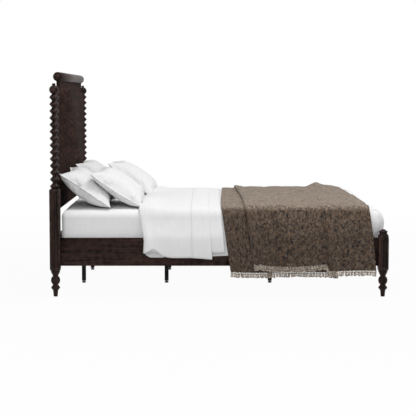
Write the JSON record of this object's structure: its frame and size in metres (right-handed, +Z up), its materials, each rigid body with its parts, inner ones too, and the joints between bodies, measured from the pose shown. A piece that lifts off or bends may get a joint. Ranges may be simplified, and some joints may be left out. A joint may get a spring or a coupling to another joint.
{
  "type": "panel bed",
  "caption": "Dark wood panel bed with turned bead posts and a crest roll, on centre legs with levelling feet, dressed with mattress, pillows, blanket, sheet and fringed throw.",
  "frame": {"origin": "on the floor, at the middle of the bed's overall box", "axes": "+X from the headboard to the foot along the bed's length, +Z up, -Y is the left side as seen from the foot"},
  "size_m": [2.146, 2.084, 1.426],
  "materials": {
    "espresso_wood": "satin",
    "slat_wood": "matte",
    "zinc_steel": "satin",
    "black_steel": "satin",
    "black_plastic": "matte",
    "fitted_sheet": "matte",
    "white_linen": "matte",
    "throw_wool": "matte",
    "fringe_yarn": "matte",
    "pillow_cotton": "matte"
  },
  "bodies": {
    "frame": {"beam_brackets": "black_steel", "bracket_screws": "zinc_steel", "centre_beam_left": "black_steel", "centre_beam_right": "black_steel", "cleat_left": "slat_wood", "cleat_right": "slat_wood", "cleat_screws": "zinc_steel", "crest_roll": "espresso_wood", "foot_post_left": "espresso_wood", "foot_post_right": "espresso_wood", "foot_rail": "espresso_wood", "head_post_left": "espresso_wood", "head_post_right": "espresso_wood", "head_rail": "espresso_wood", "headboard_panel": "espresso_wood", "leg_bolts": "zinc_steel", "leg_plugs": "black_plastic", "plate_screws": "zinc_steel", "post_keeper_plates": "zinc_steel", "rail_hook_plates": "zinc_steel", "side_rail_left": "espresso_wood", "side_rail_right": "espresso_wood", "slat_screws": "zinc_steel", "slats": "slat_wood", "support_leg_left_foot": "black_steel", "support_leg_left_head": "black_steel", "support_leg_left_middle": "black_steel", "support_leg_right_foot": "black_steel", "support_leg_right_head": "black_steel", "support_leg_right_middle": "black_steel"},
    "bedding": {"blanket": "white_linen", "mattress": "fitted_sheet", "pillow_back_left": "pillow_cotton", "pillow_back_right": "pillow_cotton", "pillow_front_left": "pillow_cotton", "pillow_front_right": "pillow_cotton", "throw": "throw_wool", "throw_fringe": "fringe_yarn", "turned_back_sheet": "white_linen"},
    "level_left_foot": {"levelling_foot_left_foot": "black_plastic"},
    "level_left_head": {"levelling_foot_left_head": "black_plastic"},
    "level_left_middle": {"levelling_foot_left_middle": "black_plastic"},
    "level_right_foot": {"levelling_foot_right_foot": "black_plastic"},
    "level_right_head": {"levelling_foot_right_head": "black_plastic"},
    "level_right_middle": {"levelling_foot_right_middle": "black_plastic"}
  },
  "joints": [
    {"name": "bedding_lift", "type": "slide", "parent": "frame", "child": "bedding", "axis": [0, 0, 1], "range_m": [0, 0.35]},
    {"name": "level_left_foot_turn", "type": "slide", "parent": "frame", "child": "level_left_foot", "axis": [0, 0, 1], "range_m": [-0.012, 0.004]},
    {"name": "level_left_head_turn", "type": "slide", "parent": "frame", "child": "level_left_head", "axis": [0, 0, 1], "range_m": [-0.012, 0.004]},
    {"name": "level_left_middle_turn", "type": "slide", "parent": "frame", "child": "level_left_middle", "axis": [0, 0, 1], "range_m": [-0.012, 0.004]},
    {"name": "level_right_foot_turn", "type": "slide", "parent": "frame", "child": "level_right_foot", "axis": [0, 0, 1], "range_m": [-0.012, 0.004]},
    {"name": "level_right_head_turn", "type": "slide", "parent": "frame", "child": "level_right_head", "axis": [0, 0, 1], "range_m": [-0.012, 0.004]},
    {"name": "level_right_middle_turn", "type": "slide", "parent": "frame", "child": "level_right_middle", "axis": [0, 0, 1], "range_m": [-0.012, 0.004]}
  ]
}
